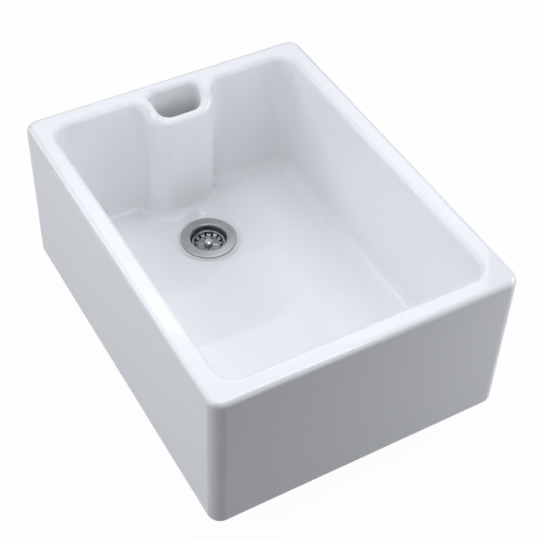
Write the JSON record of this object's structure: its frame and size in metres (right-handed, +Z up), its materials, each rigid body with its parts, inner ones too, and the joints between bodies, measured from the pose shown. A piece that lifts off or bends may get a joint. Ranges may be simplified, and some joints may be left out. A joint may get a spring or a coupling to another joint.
{
  "type": "apron front ceramic sink",
  "caption": "Rectangular glazed ceramic apron front sink with a built-in weir overflow in one end wall and a lift-out basket strainer waste.",
  "frame": {"origin": "middle of the flat ceramic underside, the face that rests on the cabinet or wall supports", "axes": "+X along the length, away from the weir and the waste; +Y from the apron front towards the wall side; +Z up"},
  "size_m": [0.595, 0.455, 0.305],
  "materials": {
    "glaze": "glossy white glaze over fireclay",
    "satin_steel": "satin stainless steel",
    "bright_steel": "polished stainless steel",
    "seal_rubber": "matte black seal rubber",
    "body_plastic": "moulded white polypropylene",
    "brass": "plain turned brass"
  },
  "bodies": {
    "sink": {"basin": "glaze", "strainer_cup": "satin_steel", "waste_body": "body_plastic", "thread_insert": "brass", "clamp_screw": "bright_steel", "flange_seal": "seal_rubber", "body_seal": "seal_rubber", "screw_washer": "seal_rubber"},
    "strainer_basket": {"basket": "satin_steel", "basket_knob": "bright_steel", "basket_stem": "bright_steel", "basket_disc": "seal_rubber", "disc_retainer": "body_plastic", "stem_nut": "bright_steel"}
  },
  "joints": [
    {"name": "basket_lift", "type": "slide", "parent": "sink", "child": "strainer_basket", "axis": [0, 0, 1], "range_m": [0, 0.26]}
  ]
}
